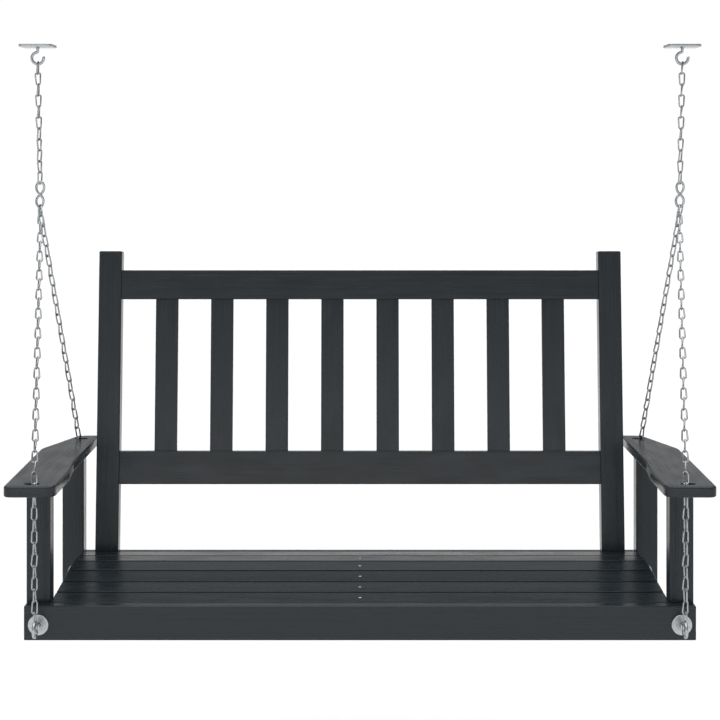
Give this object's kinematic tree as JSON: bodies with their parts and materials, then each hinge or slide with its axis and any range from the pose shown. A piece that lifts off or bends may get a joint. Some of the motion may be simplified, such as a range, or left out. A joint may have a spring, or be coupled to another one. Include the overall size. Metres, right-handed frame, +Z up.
{
  "type": "porch swing",
  "caption": "Two-seat porch swing of painted timber with a slatted leaning back, contoured slatted seat and shaped armrests, hung on chains from two ceiling hooks.",
  "frame": {"origin": "midway between the top faces of the two ceiling plates, where the swing hangs from its beam", "axes": "+X across the bench to the right as seen by someone facing the swing, -Y the way the seat faces, +Z up"},
  "size_m": [1.2652, 0.554, 1.0359],
  "materials": {
    "painted_wood": "satin anthracite paint over planed softwood",
    "galvanised_steel": "bright zinc plated steel fittings",
    "link_chain": "zinc plated welded link chain"
  },
  "bodies": {
    "hooks": {"ceiling_hook_left": "galvanised_steel", "ceiling_hook_right": "galvanised_steel"},
    "hangers": {"chain_upper_left": "link_chain", "chain_upper_right": "link_chain", "connector_left": "galvanised_steel", "connector_right": "galvanised_steel"},
    "bench": {"armrest_left": "painted_wood", "armrest_right": "painted_wood", "back_bolt_left": "galvanised_steel", "back_bolt_nut_left": "galvanised_steel", "back_bolt_nut_right": "galvanised_steel", "back_bolt_right": "galvanised_steel", "back_post_left": "painted_wood", "back_post_right": "painted_wood", "back_slat_1": "painted_wood", "back_slat_2": "painted_wood", "back_slat_3": "painted_wood", "back_slat_4": "painted_wood", "back_slat_5": "painted_wood", "back_slat_6": "painted_wood", "back_slat_7": "painted_wood", "back_slat_8": "painted_wood", "bottom_back_rail": "painted_wood", "centre_support": "painted_wood", "chain_front_left": "link_chain", "chain_front_right": "link_chain", "chain_rear_left": "link_chain", "chain_rear_right": "link_chain", "eye_bolt_front_left": "galvanised_steel", "eye_bolt_front_right": "galvanised_steel", "eye_bolt_rear_left": "galvanised_steel", "eye_bolt_rear_right": "galvanised_steel", "front_apron": "painted_wood", "front_arm_post_left": "painted_wood", "front_arm_post_right": "painted_wood", "inner_washer_front_left": "galvanised_steel", "inner_washer_front_right": "galvanised_steel", "inner_washer_rear_left": "galvanised_steel", "inner_washer_rear_right": "galvanised_steel", "nut_front_left": "galvanised_steel", "nut_front_right": "galvanised_steel", "nut_rear_left": "galvanised_steel", "nut_rear_right": "galvanised_steel", "outer_washer_front_left": "galvanised_steel", "outer_washer_front_right": "galvanised_steel", "outer_washer_rear_left": "galvanised_steel", "outer_washer_rear_right": "galvanised_steel", "rear_arm_post_left": "painted_wood", "rear_arm_post_right": "painted_wood", "rear_seat_rail": "painted_wood", "seat_slat_1": "painted_wood", "seat_slat_2": "painted_wood", "seat_slat_3": "painted_wood", "seat_slat_4": "painted_wood", "seat_slat_5": "painted_wood", "seat_slat_6": "painted_wood", "side_rail_left": "painted_wood", "side_rail_right": "painted_wood", "top_back_rail": "painted_wood"}
  },
  "joints": [
    {"name": "swing", "type": "hinge", "parent": "hooks", "child": "hangers", "pos_m": [0, 0, -0.03599], "axis": [1, 0, 0], "range_deg": [-30, 30]},
    {"name": "bench_rock", "type": "hinge", "parent": "hangers", "child": "bench", "pos_m": [0, 0, -0.30313], "axis": [1, 0, 0], "range_deg": [-15, 15]}
  ]
}
